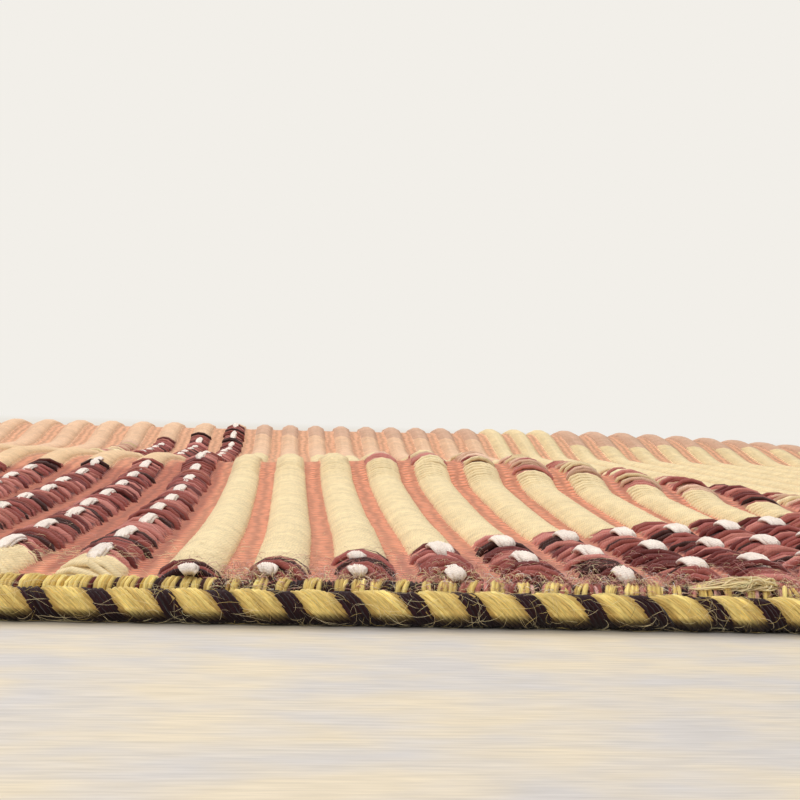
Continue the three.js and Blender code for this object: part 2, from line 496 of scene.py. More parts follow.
RIB_GROUNDS = {"dark": "wine", "mixed": "rose"}  # others have the ground of their own yarn
INSIDE_RIB = 0.9
EDGE_BRICK = {"rib": 11.6, "groove": 14.0, "light": 0.55}  # dark brick up to this far from an edge
BRICK_GROOVE = {"share": 0.75, "until": 300.0}  # between dark ribs on the left
ROSE_GROOVE = {"share": 0.4, "until": 200.0}  # between dark ribs on the right
WORN_GROOVE = {"share": 0.4, "from": 250.0, "over": 180.0}  # further back, paler


def ground_columns():
    """X, place across its rib from -1 to 1 or beyond, and rib, for each column of the upper side."""
    columns = []
    for rib in RIBS:
        half_pitch = BANDS[rib["band"]]["pitch"] / rib["width"]
        slope = (1 + half_pitch) / 2
        for place in (-half_pitch + GROOVE_GAP, -slope, *ACROSS_RIB, slope):
            columns.append((rib["x"] + place * rib["width"] / 2, place, rib))
    return columns


def ground_height(place, front):
    """Thickness of the ground at a place across a rib."""
    inset = np.minimum(front, RUG_WIDTH - front)
    body = GROOVE + (CORE_TOP - GROOVE) * np.clip(1 - np.abs(place) ** 3, 0, 1) * rib_rise(front)
    body = EDGE_FOOT + (body - EDGE_FOOT) * smooth_step((inset - FIELD_INSET + EDGE_AHEAD) / EDGE_RISE)
    roll = np.cos(np.clip((inset - ROLL_CREST) / ROLL_REACH, -1, 1) * math.pi / 2)
    return np.maximum(body, (ROLL_TOP - EDGE_FOOT) * roll + EDGE_FOOT)


def ground_rows():
    """Distances from the front of the rows of points, closer together near both edges."""
    inset = EDGE_ROWS[-1]
    middle_count = round((RUG_WIDTH - 2 * inset) / GROUND_STEP)
    middle = np.linspace(inset, RUG_WIDTH - inset, middle_count + 1)[1:-1]
    return np.concatenate([EDGE_ROWS, middle, RUG_WIDTH - EDGE_ROWS[::-1]])


def dyed(share, first, second):
    """A mix of two yarns' colours, with a share of the second."""
    return (1 - share) * YARNS[first] + share * YARNS[second]


def ground_colour(rib, place, front):
    inside = abs(place) < INSIDE_RIB
    if min(front, RUG_WIDTH - front) < EDGE_BRICK["rib" if inside else "groove"]:
        return YARNS["brick"] * EDGE_BRICK["light"]
    yarn = zone(rib, front)
    if inside:
        return YARNS[RIB_GROUNDS.get(yarn, yarn)]
    if yarn == "dark" and rib["band"] == 1 and front < BRICK_GROOVE["until"]:
        return dyed(BRICK_GROOVE["share"], "salmon", "brick")
    if yarn in RIB_GROUNDS and rib["band"] > 1 and front < ROSE_GROOVE["until"]:
        return dyed(ROSE_GROOVE["share"], "salmon", "rose")
    worn = WORN_GROOVE["share"] * smooth_step((front - WORN_GROOVE["from"]) / WORN_GROOVE["over"])
    return dyed(worn, "salmon", "buff")


def ground_ring(columns, front):
    """Points and colours around the cloth: along its upper side, a hem, its underside and a hem."""
    x = np.array([x for x, _, _ in columns])
    place = np.array([place for _, place, _ in columns])
    end = RUG_LENGTH / 2
    hem = GROOVE / 2
    arc = np.linspace(0, math.pi, HEM_POINTS)
    points = [
        placed(x, front, ground_height(place, front)),
        placed(end - hem + hem * np.sin(arc), front, hem + hem * np.cos(arc)),
        placed(np.linspace(end, -end, UNDER_POINTS + 2)[1:-1], front, 0.0),
        placed(-end + hem - hem * np.sin(arc), front, hem - hem * np.cos(arc)),
    ]
    upper = [ground_colour(rib, place, front) for _, place, rib in columns]
    others = [YARNS["salmon"]] * (2 * HEM_POINTS + UNDER_POINTS)
    return np.concatenate(points), np.array(upper + others)


def zipped(over, below, x, first, flip):
    """Triangles between two chains along +X."""
    made = []
    i = j = 0
    while i < len(over) - 1 or j < len(below) - 1:
        next_over = x[over[i + 1] - first] if i < len(over) - 1 else math.inf
        next_below = x[below[j + 1] - first] if j < len(below) - 1 else math.inf
        if next_over <= next_below:
            corners = (over[i], below[j], over[i + 1])
            i += 1
        else:
            corners = (over[i], below[j], below[j + 1])
            j += 1
        made.append(corners[::-1] if flip else corners)
    return made


def woven_ground():
    """The cloth under the stitches: one closed loft with a flat cap along each cord."""
    columns = ground_columns()
    points, colours = zip(*(ground_ring(columns, front) for front in ground_rows()))
    size = len(points[0])
    rings = np.arange(len(points) - 1)[:, None] * size
    here = np.arange(size)
    there = (here + 1) % size
    quads = np.stack([rings + size + here, rings + size + there, rings + there, rings + here], -1)
    caps = []
    for row in (0, len(points) - 1):
        first = row * size
        over = [first + i for i in range(len(columns))]
        below = [first + size - 1 - i for i in range(size - len(columns))]
        caps += zipped(over, below, points[row][:, 0], first, flip=row > 0)
    part = {
        "points": np.concatenate(points),
        "colours": np.concatenate(colours),
        "quads": quads.reshape(-1, 4),
        "triangles": np.array(caps),
        "uv_quads": np.zeros((quads.size, 2)),
        "uv_triangles": np.zeros((len(caps) * 3, 2)),
    }
    piece = mesh_piece("woven_ground", [part])
    finish_piece(piece, GROUND_WEAVE, "field_wool", "field")
    return piece


# ---------------------------------------------------------------- wrapped ribs

STITCH_PITCH = 7.0
STITCH_SLANT = 0.6  # how far a stitch comes forward for each millimetre to the right
LEAST_SLANT = 0.05  # at the ends of a rib
RIB_END = 1.2  # how far stitches reach past the start of a rib
NEAR_ANGLES = np.radians([-22, 4, 32, 61, 90, 119, 148, 176, 202])  # around a rib, from one side of it
FAR_ANGLES = np.radians([-16, 36, 75, 105, 144, 196])
NEAR_STITCHES = 240.0  # stitches up to this far from the front have more points
STITCH_FOOT = 5.3  # height of a stitch where it goes down into the ground
STITCH_DEPTH = 0.85  # half the thickness of a stitch's strand
STRAY_SHARE = 0.35  # of the strands in a dark stitch that are in some other dark yarn
BULGE_LEVEL = 0.65  # the outer strands of a stitch lie lower than the middle ones, around this level
BULGE_ASIDE = 0.6  # how far a strand that stands out also stands aside

# Kinds of stitch, in millimetres or shares
PLAIN = {
    "strands": 3,  # in each stitch
    "width": 1.5,  # half the width of a strand
    "narrow": 0.4,  # from the rib's sides to where it goes down
    "rise": 4.3,  # over its feet
    "bulge": 0.12,  # how far its middle strands stand out
    "tilt": 0.04,  # how uneven its slant is,
    "ragged": 0.06,  # its feet,
    "wander": 0.06,  # the places of its strands,
    "lumps": 0.1,  # how far they stand out
    "spread": 0.02,  # and how light they are
}
DARK = {
    "strands": 4,
    "width": 1.0,
    "narrow": 0.7,
    "rise": 4.3,
    "bulge": 1.5,
    "tilt": 0.4,
    "ragged": 0.6,
    "wander": 0.45,
    "lumps": 0.22,
    "spread": 0.13,
}

# Kinds of white float. One is no longer than its fill, of the distance between the middles of two.
NARROW_FLOAT = {
    "pitch": 29.0,
    "length": 14.5,
    "fill": 0.7,
    "spacing": 0.74,  # between its strands
    "top": 11.8,
    "lean": -0.12,  # to the right, for each millimetre back
    "plump": 0.95,  # thickness of a strand to its width
}
WIDE_FLOAT = {
    "pitch": 31.5,
    "length": 28.0,
    "fill": 0.9,
    "spacing": 0.5,
    "top": 11.3,
    "lean": 0.02,
    "plump": 0.7,
}
FLOAT_STRANDS = 7
FLOAT_POINTS = 6
FLOAT_RADIUS = 0.7
FLOAT_SINK = 2.2  # how far a float's ends are sunk
FLOAT_SHORTER = 0.025  # how much shorter a strand is, for each square of its place from the middle
FLOAT_LOWER = 0.05  # and how much lower
FLOAT_PINCH = 0.5  # how much narrower a float is at its ends
FLOAT_TUCK = 3.0  # a float rises from this far behind the start of a rib, and ends this far before it
FLOAT_UNEVEN = {  # how uneven a float's place and length are, and those of its strands
    "middle": 0.9,
    "aside": 0.4,
    "length": 0.08,
    "shift": 0.12,
    "height": 0.07,
    "radius": 0.04,
}

# Where floats lie. A wide rib's first one is behind the front of its dark zone, and its others behind
# that. A narrow rib's last one is before the back of its dark zone, and its others before that.
WIDE_FIRST = (23.2, 0.52)
RIGHT_LAST = (132.0, -0.6)
NARROW_BEFORE = 13.5
NARROW_LAST = 12.5  # the nearest that a last one may be
WIDE_NEAREST = 20.0
NARROW_NEAREST = 9.0
MOST_FLOATS = 24  # on one rib
EXTRA_FLOAT = {"away": 47.0, "front": 13.5}  # the rib there has a second float, close to its last one
# Floats among the knots are smaller, and to one side. The first ones on other narrow ribs are small too.
KNOT_REACH = 50.0  # ribs up to this far into the narrow band end in a knot of dark yarns
KNOT_FLOAT = {"share": 0.48, "aside": -2.4, "from": 11.0, "top": 11.2, "plump": 0.7}
FIRST_FLOAT = {"share": 0.6, "until": 20.0, "top": 10.8}


def knotted(rib):
    return rib["band"] == 2 and rib["away"] < KNOT_REACH


def pick(shares, count):
    return draw.choice(list(shares), count, p=list(shares.values()))


def wrapped(rib, middles, names, kind, angles):
    """Stitches over a rib at their middles, each of strands in one yarn or two."""
    count = kind["strands"]
    strand = np.arange(count) - (count - 1) / 2
    shape = (len(middles), count)
    base = middles[:, None] + strand * STITCH_PITCH / count + draw.normal(0, kind["wander"], shape)
    half = rib["width"] / 2 - kind["narrow"] + draw.normal(0, kind["ragged"], (*shape, 1))
    inset = np.minimum(base, RUG_WIDTH - base) - RIB_START + RIB_END
    slant = STITCH_SLANT * draw.normal(1, kind["tilt"], (len(middles), 1))
    slant = np.clip(inset / (rib["width"] / 2), LEAST_SLANT, slant)[..., None]
    front = base[..., None] + slant * half * np.cos(angles)
    front = np.clip(front, RIB_START - RIB_END, RUG_WIDTH - RIB_START + RIB_END)
    lumps = draw.normal(0, kind["lumps"], shape)
    bulge = kind["bulge"] * (np.cos(math.pi * strand / count) - BULGE_LEVEL + lumps)[..., None]
    height = STITCH_FOOT + (kind["rise"] + bulge) * rib_rise(front) * np.sin(angles)
    x = rib["x"] - (half + BULGE_ASIDE * bulge) * np.cos(angles)
    paths = placed(x, front, height).reshape(-1, len(angles), 3)
    radii = np.full(len(paths), STITCH_DEPTH)
    colours = shades(names.ravel(), kind["spread"])
    return strands(paths, radii, colours, reference=(0, 1, 0), ratio=kind["width"] / STITCH_DEPTH)


def stitch_names(yarns, shares):
    """A yarn for each strand of each stitch."""
    names = np.repeat(yarns[:, None], DARK["strands"], axis=1)
    others = pick(shares, names.size).reshape(names.shape)
    return np.where(draw.random(names.shape) < STRAY_SHARE, others, names)


def rib_stitches(rib):
    """The wrapping stitches of one rib, as parts in plain and in dark yarns."""
    count = round((RUG_WIDTH - 2 * RIB_START) / STITCH_PITCH)
    middles = RIB_START + (np.arange(count) + 0.5) * (RUG_WIDTH - 2 * RIB_START) / count
    zones = np.array([zone(rib, m) for m in middles])
    near = middles < NEAR_STITCHES
    parts = []
    darks = KNOT_STITCHES if knotted(rib) else DARK_STITCHES
    for close, angles in ((near, NEAR_ANGLES), (~near, FAR_ANGLES)):
        plain = np.isin(zones, PLAIN_ZONES) & close
        if plain.any():
            names = np.repeat(zones[plain], PLAIN["strands"])
            parts.append(wrapped(rib, middles[plain], names, PLAIN, angles))
        for kind, shares in (("dark", darks), ("mixed", MIXED_STITCHES)):
            chosen = (zones == kind) & close
            if chosen.any():
                names = stitch_names(pick(shares, chosen.sum()), shares)
                parts.append(wrapped(rib, middles[chosen], names, DARK, angles))
    return parts


def float_middles(rib):
    """Distances from the front of the middles of a rib's white floats."""
    away = rib["away"]
    pitches = np.arange(MOST_FLOATS)
    if rib["band"] == 1:
        middles = end_at(WIDE_FIRST, away) + WIDE_FLOAT["pitch"] * pitches
        return middles[middles > WIDE_NEAREST]
    last = end_at(RIGHT_LAST, away)
    if rib["band"] != 3:
        last = max(dark_end(away) - NARROW_BEFORE, NARROW_LAST)
    middles = last - NARROW_FLOAT["pitch"] * pitches
    if rib["band"] == 2 and abs(away - EXTRA_FLOAT["away"]) < 1:
        middles = np.array([last + 1, EXTRA_FLOAT["front"]])
    return middles[middles > NARROW_NEAREST]


def rib_floats(rib):
    """White floats along the crest of a dark rib, in bundles of strands."""
    kind = WIDE_FLOAT if rib["band"] == 1 else NARROW_FLOAT
    uneven = FLOAT_UNEVEN
    middles = float_middles(rib)
    middles = middles + draw.normal(0, uneven["middle"], len(middles))
    last = RUG_WIDTH - RIB_START - kind["length"]
    middles = middles[[zone(rib, m) == "dark" and m < last for m in middles]]
    if not len(middles):
        return []
    gap = np.abs(np.diff(middles)).min() if len(middles) > 1 else kind["pitch"]
    first = middles < FIRST_FLOAT["until"]
    share = np.where(first, FIRST_FLOAT["share"], 1.0)
    top = np.where(first, FIRST_FLOAT["top"], kind["top"])
    aside = np.zeros(len(middles))
    plump = kind["plump"]
    if knotted(rib):
        share[:] = KNOT_FLOAT["share"]
        top[:] = KNOT_FLOAT["top"]
        aside[middles > KNOT_FLOAT["from"]] = KNOT_FLOAT["aside"]
        plump = KNOT_FLOAT["plump"]
    length = min(kind["length"], kind["fill"] * gap) * share
    length = length * draw.normal(1, uneven["length"], len(middles))

    # From here on, an array has a row for each float, then one for each strand, and then its points
    middles, share, top, aside, length = (a[:, None, None] for a in (middles, share, top, aside, length))
    strand = (np.arange(FLOAT_STRANDS) - (FLOAT_STRANDS - 1) / 2)[:, None]
    run = np.linspace(0, 1, FLOAT_POINTS)
    each = (len(middles), FLOAT_STRANDS, 1)
    reach = length * (1 - FLOAT_SHORTER * strand**2)
    front = middles + reach * (run - 0.5) + draw.normal(0, uneven["shift"], each)
    pinch = 1 - FLOAT_PINCH + FLOAT_PINCH * np.sin(math.pi * run) ** 0.6
    lean = kind["lean"] * (run - 0.5) * length
    x = rib["x"] + aside + draw.normal(0, uneven["aside"], (len(middles), 1, 1))
    x = x + strand * kind["spacing"] * share**0.5 * pinch + lean
    arch = np.maximum(np.sin(math.pi * run), 0) ** 0.75
    height = top - FLOAT_SINK * (1 - arch) - FLOAT_LOWER * strand**2
    height = height + draw.normal(0, uneven["height"], each)
    height = STITCH_FOOT + (height - STITCH_FOOT) * rib_rise(np.maximum(front, RIB_START + FLOAT_TUCK))
    paths = placed(x, np.maximum(front, RIB_START - FLOAT_TUCK), height).reshape(-1, FLOAT_POINTS, 3)
    radii = FLOAT_RADIUS * draw.normal(1, uneven["radius"], len(paths))
    return [strands(paths, radii, shades(["white"] * len(paths), spread=0.02), ratio=plump)]


def ribs_piece(name, band):
    parts = []
    for rib in RIBS:
        if rib["band"] == band:
            parts += rib_stitches(rib) + rib_floats(rib)
    piece = mesh_piece(name, parts)
    finish_piece(piece, STITCH_WOOL, "field_wool")
    return piece


# ---------------------------------------------------------------- edges

LEAD = 12.42  # length of cord that one turn of the wrapping yarns covers
FRONT_OF_TURN = 0.75  # the share of a turn at which a wrap crosses the front of the cord
FIRST_DARK = -18.4  # X of a dark stripe's middle, on the front of the cord
LIGHT_WRAPS = {"yarn": "straw", "count": 12, "spacing": LEAD / 12, "slant": 1.7, "radius": 0.6}
# These are wound over the light ones
DARK_WRAPS = {"yarn": "plum", "count": 4, "spacing": 1.15, "slant": -0.1, "radius": 0.68}
WRAP_RATIO = 0.95  # of a wrap's thickness to its width
WRAP_LOWEST = DARK_WRAPS["radius"] * WRAP_RATIO  # height of a wrap that lies on the floor
# From the axis of the cord to the middle of a light wrap that just reaches the cord's surface
WRAP_REACH = CORD_RADIUS - LIGHT_WRAPS["radius"] * WRAP_RATIO
CORE_RADIUS = WRAP_REACH - 0.5
WRAP_SUNK = 0.12  # how far the wraps are sunk
DARK_OVER = 0.1  # how far the dark ones are over that
STRIPE_HALF = 2.25  # half the width of the dark stripe
PLUMP = 0.55  # how far the light wraps swell between two turns of the dark stripe
DIVE = 1.8  # and how far they dive under it
FRONT_TURN_STEPS = 16
BACK_TURN_STEPS = 7
EDGE_THINNING = 0.08  # how much thinner the bound edge is at its thinnest
EDGE_THICKEST = 30.0  # X of a thickest place, and the distance from one to the next
EDGE_WAVE = 250.0
# Sines along the wraps: size, shift from one wrap to the next, and length
WRAP_WANDER = ((0.4, 0.4, 5.3), (0.3, 1.9, 2.3), (0.25, 4.0, 9.1))
WRAP_LOOSE = ((0.08, 5.1, 2.7), (0.05, 2.3, 0.9))
WRAP_GLOW = ((0.09, 1.0, 1.7), (0.07, 2.2, 1 / 1.3))
STRIPE_SHADE = 0.55  # painted shade: light of a light wrap in the crease beside the dark stripe, where it dives under it
PAINTED_UNDER_SHADE = 0.5 * YARNS["plum"]  # painted shade: the wraps are drawn dark where the cord lies on the floor, as its underside is in shade
UNDER_START = 0.22  # how far under the cord's middle that starts, in radii
UNDER_FADE = 0.25
CORE_POINTS = 60
CORE_INSET = 0.2  # from the ends of the rug to the core's


def edge_side(front, back):
    """Distances from the front of what is measured from the nearer edge."""
    return RUG_WIDTH - front if back else front


def edge_size(x):
    """How thick the bound edge is at an X, as a share of its full size."""
    return 1 - EDGE_THINNING * (1 - np.cos(2 * math.pi * (x - EDGE_THICKEST) / EDGE_WAVE)) / 2


def waves(table, index, angle):
    return sum(size * np.sin(shift * index + angle / length) for size, shift, length in table)


def cord_axis(x, back):
    return placed(x, edge_side(CORD_RADIUS, back), CORD_RADIUS * edge_size(x))[None]


def wrap_path(turn, radius, x, back):
    """A helix around the cord, through a turn, a distance from the axis and an X for each point."""
    size = edge_size(x)
    front = edge_side(CORD_RADIUS - size * radius * np.sin(turn), back)
    height = np.maximum(size * (CORD_RADIUS + radius * np.cos(turn)), WRAP_LOWEST)
    return placed(x, front, height)[None]


def wrap(wraps, index, angle, along, back):
    """One light or dark strand of the cord's wrapping, along its whole length."""
    light = wraps is LIGHT_WRAPS
    loose = waves(WRAP_LOOSE, index, angle)
    place = (index - (wraps["count"] - 1) / 2) * wraps["spacing"]
    x = along + place - wraps["slant"] * np.cos(angle) + loose
    x = x if light else x + LEAD / 2
    stripe = along + LEAD / 2 - DARK_WRAPS["slant"] * np.cos(angle)
    beside = np.abs((x - stripe + LEAD / 2) % LEAD - LEAD / 2)
    lobe = (beside - STRIPE_HALF) / (LEAD / 2 - STRIPE_HALF)
    swollen = np.where(lobe > 0, PLUMP * (1 - (1 - lobe) ** 2), DIVE * lobe)
    radius = WRAP_REACH - WRAP_SUNK + (swollen if light else DARK_OVER) + loose
    x = within_ends(x)
    path = wrap_path(-angle if back else angle, radius, x, back)
    glow = 1 + waves(WRAP_GLOW, index, angle)
    # Painted shade in the crease where the light wraps dive under the dark stripe
    if light:
        glow = glow * (STRIPE_SHADE + (1 - STRIPE_SHADE) * smooth_step(2 * lobe))
    # Painted shade: under the cord's middle the wraps turn to a dark plum
    under = smooth_step((-np.cos(angle) - UNDER_START) / UNDER_FADE)[:, None]
    tint = deepened(shades([wraps["yarn"]], spread=0.1), glow[:, None])
    tint = tint * (1 - under) + PAINTED_UNDER_SHADE * under
    outward = unit(path - cord_axis(x, back))
    return strands(path, np.array([wraps["radius"]]), tint[None], reference=outward, ratio=WRAP_RATIO)


def bound_cord(name, cad_node, back):
    """A cord wrapped in two colours, each strand a helix along the whole edge."""
    turns = RUG_LENGTH / LEAD
    steps = BACK_TURN_STEPS if back else FRONT_TURN_STEPS
    angle = np.linspace(0, 2 * math.pi * turns, round(turns * steps) + 1)
    phase = (FIRST_DARK + RUG_LENGTH / 2 - FRONT_OF_TURN * LEAD) % LEAD
    along = -RUG_LENGTH / 2 + phase + angle * LEAD / (2 * math.pi) + waves(WRAP_WANDER, 1, angle)
    parts = []
    for wraps in (LIGHT_WRAPS, DARK_WRAPS):
        parts += [wrap(wraps, index, angle, along, back) for index in range(wraps["count"])]
    core_end = RUG_LENGTH / 2 - CORE_INSET
    core = cord_axis(np.linspace(-core_end, core_end, CORE_POINTS), back)
    parts.append(strands(core, np.array([CORE_RADIUS]), shades(["plum"], spread=0.0), sides=10))
    piece = mesh_piece(name, parts)
    finish_piece(piece, CORD_WOOL, "cord_wool", cad_node)
    return piece


WHIP_SPACING = 0.92
WHIP_ENDS = (1.0, 0.5)  # bare lengths at the two ends of the rug
WHIP_POINTS = 7
WHIP_SWEEP = (-108, 92)  # around the rolled edge, in degrees from its top
WHIP_REACH = 3.1
WHIP_MIDDLE = 4.4  # height of the middle of the rolled edge
WHIP_RADIUS = 0.56
WHIP_BUNDLES = (  # up to this X: light strands, then dark ones, in turn
    {"until": -78, "light": 4, "dark": 1, "darks": ("umber", "wine", "ochre")},
    {"until": -18, "light": 3, "dark": 2, "darks": ("umber", "umber", "plum")},
    {"until": 400, "light": 3, "dark": 3, "darks": ("umber", "umber", "plum", "maroon", "rose", "pink")},
)
BUNDLE_HEIGHT = 0.38  # how far the middle of a light bundle stands out
BUNDLE_PINCH = 0.5  # how far its outer strands come in at the front
DARK_SINK = 0.12
WHIP_LEAN = 0.8
RAGGED = {
    "left": 0.08,  # how uneven the strands are on the left
    "right": 0.22,  # and on the right
    "from": -60.0,  # X where the one starts to turn into the other
    "over": 60.0,
    "lean": 3.0,  # how much more uneven their lean is
    "radius": 0.06,
    "shade": 0.16,
}


def whip_bundles(count):
    """A yarn, a place in its bundle from -1 to 1 and whether it is light, for each whip strand."""
    yarns = []
    places = []
    light = []
    while len(yarns) < count:
        x = -RUG_LENGTH / 2 + len(yarns) * WHIP_SPACING
        bundle = next(b for b in WHIP_BUNDLES if x < b["until"])
        for kind in ("light", "dark"):
            size = max(1, bundle[kind] + draw.integers(-1, 2))
            yarns += ["straw"] * size if kind == "light" else list(draw.choice(bundle["darks"], size))
            places += list((2 * np.arange(size) - size + 1) / size)
            light += [kind == "light"] * size
    return yarns[:count], np.array(places[:count]), np.array(light[:count])


def whipped_edge(name, back):
    """Short stitches over the rolled edge, between the cord and the ribs."""
    count = int((RUG_LENGTH - sum(WHIP_ENDS)) / WHIP_SPACING)
    yarns, places, light = whip_bundles(count)
    x = -RUG_LENGTH / 2 + WHIP_ENDS[0] + np.arange(count) * WHIP_SPACING
    sweep = np.radians(np.linspace(*WHIP_SWEEP, WHIP_POINTS))
    rise = smooth_step((x - RAGGED["from"]) / RAGGED["over"])
    ragged = RAGGED["left"] + (RAGGED["right"] - RAGGED["left"]) * rise
    out = np.where(light, BUNDLE_HEIGHT * (1 - places**2), -DARK_SINK)
    out = out + ragged * draw.normal(0, 1, count)
    reach = WHIP_REACH + out[:, None]
    front = ROLL_CREST + reach * np.sin(sweep)
    height = WHIP_MIDDLE * edge_size(x[:, None]) + reach * np.cos(sweep)
    pinch = BUNDLE_PINCH * (places * light)[:, None] * (1 - np.cos(sweep))
    lean = WHIP_LEAN + RAGGED["lean"] * (ragged * draw.normal(0, 1, count))[:, None]
    paths = placed(x[:, None] + lean * np.sin(sweep) - pinch, edge_side(front, back), height)
    radii = WHIP_RADIUS * draw.normal(1, RAGGED["radius"], count)
    part = strands(paths, radii, shades(yarns, RAGGED["shade"]), reference=(1, 0, 0))
    piece = mesh_piece(name, [part])
    finish_piece(piece, CORD_WOOL, "cord_wool")
    return piece


KNOT_YARNS = ("umber", "maroon", "plum")  # of the loops of a knot, from the back to the front
KNOT_ANGLES = np.radians(np.linspace(-20, 200, 9))
KNOT_START = 0.6  # from the end of the dark triangle to the first loop
KNOT_STEP = 1.7  # from one loop to the next
KNOT_WANDER = 0.8  # how far a loop wanders along the rib
KNOT_FOOT = STITCH_FOOT - 0.6
KNOT_HEIGHT = 5.0
KNOT_OVER = 0.3  # how far the first loop reaches past each side of the rib
KNOT_SHRINK = 0.4  # how much lower and narrower each loop is
KNOT_RADIUS = 0.8


def knots():
    """Loose dark loops over the front ends of the first ribs of the narrow band."""
    parts = []
    for rib in RIBS:
        if not knotted(rib):
            continue
        end = dark_end(rib["away"]) - KNOT_START
        for index, yarn in enumerate(KNOT_YARNS):
            front = end - KNOT_STEP * index + KNOT_WANDER * np.sin(2 * KNOT_ANGLES + index)
            height = KNOT_FOOT + (KNOT_HEIGHT - KNOT_SHRINK * index) * np.sin(KNOT_ANGLES)
            half = rib["width"] / 2 + KNOT_OVER - KNOT_SHRINK * index
            path = placed(rib["x"] - half * np.cos(KNOT_ANGLES), front, height)[None]
            colour = shades([yarn], spread=0.05)
            parts.append(strands(path, np.array([KNOT_RADIUS]), colour, reference=(0, 1, 0)))
    piece = mesh_piece("front_knots", parts)
    finish_piece(piece, STITCH_WOOL, "field_wool")
    return piece


TUFT = {
    "strands": 120,
    "points": 8,
    "yarns": ("pale", "pale", "cream"),
    "from": 40.0,  # X of its loose end, which no strand passes
    "to": 61.5,
    "fray": 2.0,  # how far its strands start from there, on average
    "least": 4.0,  # length of its strands
    "more": 6.0,  # and how much longer they are on average
    "swing": 1.3,
    "swings": (0.8, 2.6),
    "spread": 0.9,
    "foot": 7.7,
    "rise": (0.1, 2.6),
    "radius": (0.07, 0.24),
}


def frayed_tuft():
    """A frayed end of the whipping yarn, lying along the rolled edge."""
    count = TUFT["strands"]
    run = np.linspace(0, 1, TUFT["points"])
    each = (count, 1)
    start = TUFT["to"] - draw.exponential(TUFT["fray"], each)
    length = np.minimum(TUFT["least"] + draw.exponential(TUFT["more"], each), start - TUFT["from"])
    swing = draw.normal(0, TUFT["swing"], each)
    swing = swing * np.sin(math.pi * run * draw.uniform(*TUFT["swings"], each))
    front = ROLL_CREST + draw.normal(0, TUFT["spread"], each) + swing
    arch = np.sin(math.pi * np.clip(run + 0.15, 0, 1))
    height = TUFT["foot"] + draw.uniform(*TUFT["rise"], each) * arch
    paths = placed(start - length * run, front, height)
    yarns = draw.choice(TUFT["yarns"], count)
    part = strands(paths, draw.uniform(*TUFT["radius"], count), shades(yarns, spread=0.05))
    piece = mesh_piece("frayed_tuft", [part])
    finish_piece(piece, CORD_WOOL, "cord_wool")
    return piece


# ---------------------------------------------------------------- stray fibres

LONG_HAIR = 6  # points along a hair
SHORT_HAIR = 4
# Kinds of hair: how long, how curly and how thick they are, how far they stand out at the most, and
# how far the first and last ones start from the ends of the rug
CORD_HAIRS = {
    "yarns": {"cream": 0.3, "pale": 0.35, "straw": 0.3, "umber": 0.05},
    "length": (3.0, 10.0),
    "curl": 1.3,
    "stand": 0.9,
    "radius": (0.017, 0.034),
    "spread": 0.08,
    "inset": 3.0,
}
RIB_HAIRS = {
    "yarns": {"pink": 0.35, "rose": 0.2, "cream": 0.25, "maroon": 0.2},
    "length": (2.0, 8.0),
    "curl": 1.7,
    "stand": 1.3,
    "radius": (0.022, 0.048),
    "spread": 0.08,
    "inset": 4.0,
}
FUZZ_HAIRS = {
    "yarns": {"pink": 0.4, "rose": 0.08, "white": 0.12, "pale": 0.32, "maroon": 0.08},
    "length": (2.0, 6.5),
    "curl": 2.6,
    "stand": 1.9,
    "radius": (0.028, 0.075),
    "spread": 0.1,
    "inset": 6.0,
}
# Surfaces that hairs lie on, by distance from the front: the least and the most, the height at the
# front, and each rise, with where it starts and the length that it takes
RIB_SURFACE = {"reach": (7.5, 90.0), "foot": 7.8, "rises": ((2.8, 9.0, 6.0),)}
ROLL_SURFACE = {"reach": (8.0, 22.0), "foot": 6.0, "rises": ((1.6, 8.0, 3.0), (1.4, 11.0, 5.0))}


def hair_starts(kind, count):
    """An X for each hair."""
    end = RUG_LENGTH / 2 - kind["inset"]
    return draw.uniform(-end, end, (count, 1))


def hair_runs(kind, count, steps):
    """Curly runs over a surface, as steps along it and across it."""
    length = draw.uniform(*kind["length"], (count, 1))
    heading = draw.uniform(0, 2 * math.pi, (count, 1))
    swing = heading + draw.normal(0, kind["curl"], (count, 1)) * np.linspace(0, 1, steps)
    along = length * np.cumsum(np.cos(swing), axis=1) / steps
    across = length * np.cumsum(np.sin(swing), axis=1) / steps
    return along, across


def hair_stand(kind, count, steps):
    """How far each point of a hair stands out of its surface."""
    run = np.linspace(0, 1, steps)
    return draw.uniform(0.1, kind["stand"], (count, 1)) * np.sin(math.pi * np.clip(run * 1.1, 0, 1))


def surface_height(surface, front):
    height = surface["foot"]
    for rise, start, over in surface["rises"]:
        height = height + rise * smooth_step((front - start) / over)
    return height


def hair_piece(name, kind, paths, slot, yarns=None):
    """Hairs along paths, in yarns picked by their shares if none are given."""
    radii = draw.uniform(*kind["radius"], len(paths))
    if yarns is None:
        yarns = pick(kind["yarns"], len(paths))
    piece = mesh_piece(name, [strands(paths, radii, shades(yarns, kind["spread"]), sides=3)])
    finish_piece(piece, FUZZ_WOOL, slot)
    return piece


FIBRE_TURNS = (-0.1, 1.0)  # where fibres start around the cord, in half turns from its top to its front
FIBRE_OVER = 0.2  # how far out of the cord's surface they lie
FIBRE_BEND = 0.8  # share of their run across the cord that goes around it
FIBRE_LOWEST = 0.12


def cord_fibres(name, count, back):
    """Fine curly hairs that stand out of the cord and the whipping."""
    x = hair_starts(CORD_HAIRS, count)
    turn = draw.uniform(*FIBRE_TURNS, (count, 1)) * math.pi
    steps = SHORT_HAIR if back else LONG_HAIR
    along, across = hair_runs(CORD_HAIRS, count, steps)
    radius = CORD_RADIUS + FIBRE_OVER + hair_stand(CORD_HAIRS, count, steps)
    turn = turn + FIBRE_BEND * across / radius
    front = edge_side(CORD_RADIUS - radius * np.sin(turn), back)
    height = np.maximum(CORD_RADIUS + radius * np.cos(turn), FIBRE_LOWEST)
    paths = placed(within_ends(x + along), front, height)
    return hair_piece(name, CORD_HAIRS, paths, "cord_wool")


